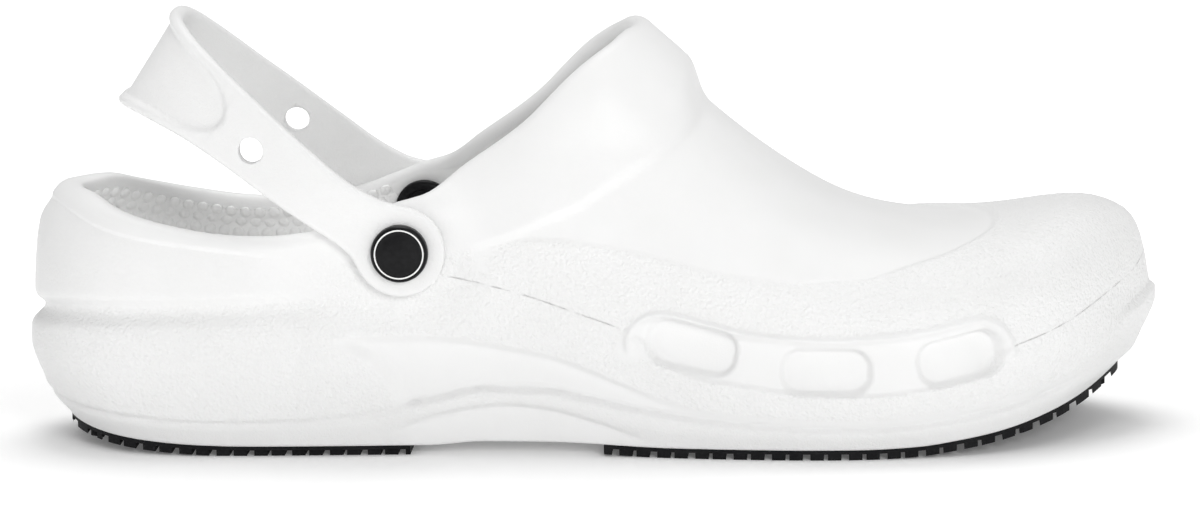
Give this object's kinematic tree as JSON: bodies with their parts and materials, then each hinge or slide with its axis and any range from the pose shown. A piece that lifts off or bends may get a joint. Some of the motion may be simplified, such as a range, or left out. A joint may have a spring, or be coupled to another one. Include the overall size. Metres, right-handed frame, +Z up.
{
  "type": "chef clog",
  "caption": "Moulded closed-toe work clog with a pivoting heel strap, blind oval side vents and black slip-resistant rubber pads under the sole.",
  "frame": {"origin": "bottom centre of the box round the clog, on the ground", "axes": "+X towards the toe, -Y to the outer side of the right foot, +Z up"},
  "size_m": [0.29, 0.1064, 0.1104],
  "materials": {
    "clog_foam": "white closed-cell foam, satin, leather grain at heel and toe, smooth panel on the vamp",
    "strap_foam": "white closed-cell foam, satin",
    "heel_rubber": "black slip-resistant rubber, matt",
    "forefoot_rubber": "black slip-resistant rubber, matt",
    "rivet_cap_lateral_plastic": "black with a thin white ring",
    "rivet_cap_medial_plastic": "black with a thin white ring",
    "rivet_button_lateral_plastic": "black",
    "rivet_button_medial_plastic": "black"
  },
  "bodies": {
    "root": {"clog_body": "clog_foam", "heel_strap": "strap_foam", "outsole_heel": "heel_rubber", "outsole_forefoot": "forefoot_rubber", "rivet_cap_lateral": "rivet_cap_lateral_plastic", "rivet_cap_medial": "rivet_cap_medial_plastic", "rivet_button_lateral": "rivet_button_lateral_plastic", "rivet_button_medial": "rivet_button_medial_plastic"}
  },
  "joints": []
}
